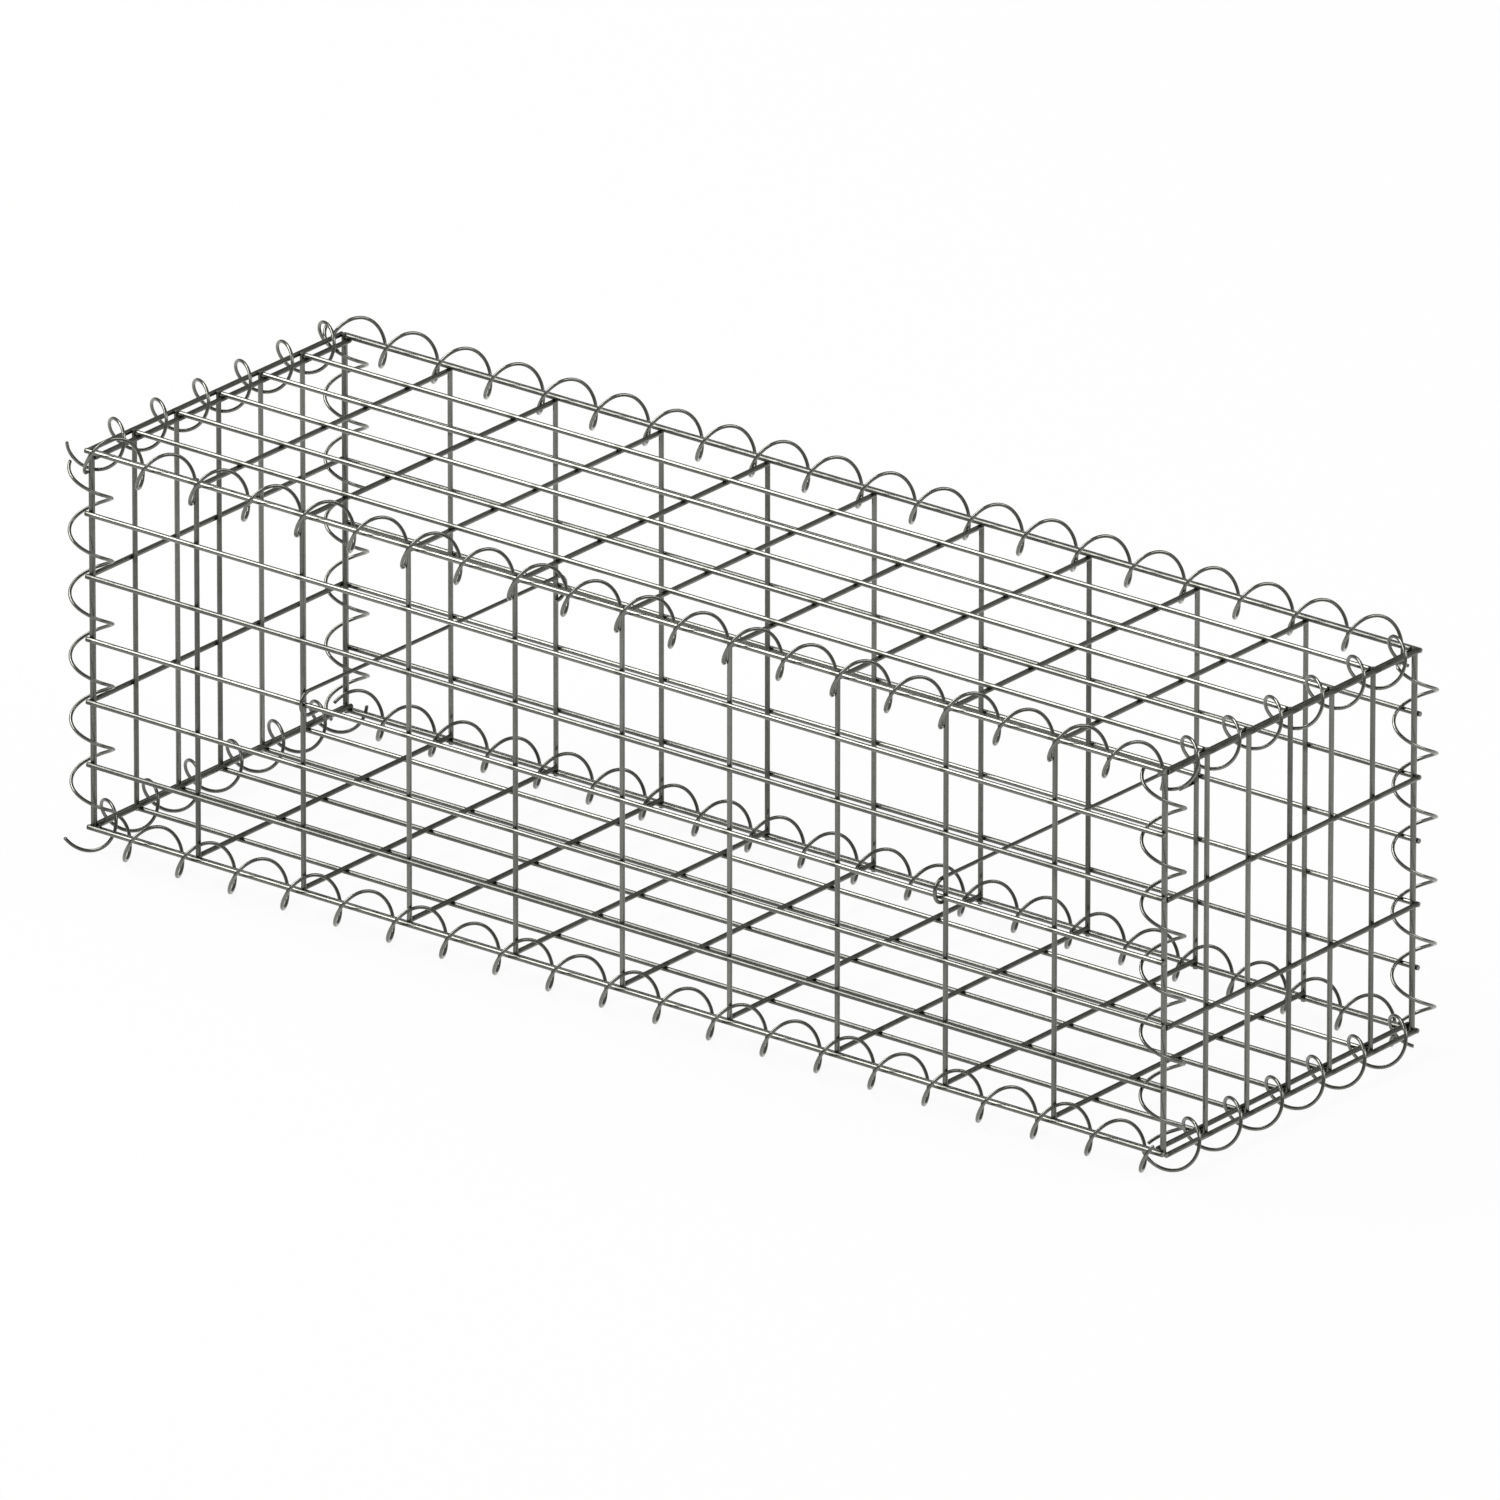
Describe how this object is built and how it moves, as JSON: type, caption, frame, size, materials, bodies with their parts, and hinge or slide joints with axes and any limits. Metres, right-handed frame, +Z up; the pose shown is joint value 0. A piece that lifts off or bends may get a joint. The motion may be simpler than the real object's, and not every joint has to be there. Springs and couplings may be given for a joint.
{
  "type": "gabion basket",
  "caption": "Empty rectangular gabion basket of welded steel wire mesh, laced along every edge with spiral binders and tied across by hooked spacer wires.",
  "frame": {"origin": "on the ground under the middle of the basket, level with the lowest binder turns", "axes": "+X along the length, +Y from front to back, +Z up"},
  "size_m": [1.0339, 0.3342, 0.3343],
  "materials": {
    "mesh_wire": "zinc-coated wire, dull bright",
    "binder_wire": "zinc-coated spring wire, satin",
    "spacer_wire": "zinc-coated soft wire, satin"
  },
  "bodies": {
    "root": {"front_panel": "mesh_wire", "back_panel": "mesh_wire", "left_end_panel": "mesh_wire", "right_end_panel": "mesh_wire", "base_panel": "mesh_wire", "lid_panel": "mesh_wire", "binder_front_top": "binder_wire", "binder_front_bottom": "binder_wire", "binder_back_top": "binder_wire", "binder_back_bottom": "binder_wire", "binder_left_front": "binder_wire", "binder_right_front": "binder_wire", "binder_left_back": "binder_wire", "binder_right_back": "binder_wire", "binder_right_top": "binder_wire", "binder_left_top": "binder_wire", "binder_right_bottom": "binder_wire", "binder_left_bottom": "binder_wire", "spacer_left": "spacer_wire", "spacer_right": "spacer_wire"}
  },
  "joints": []
}
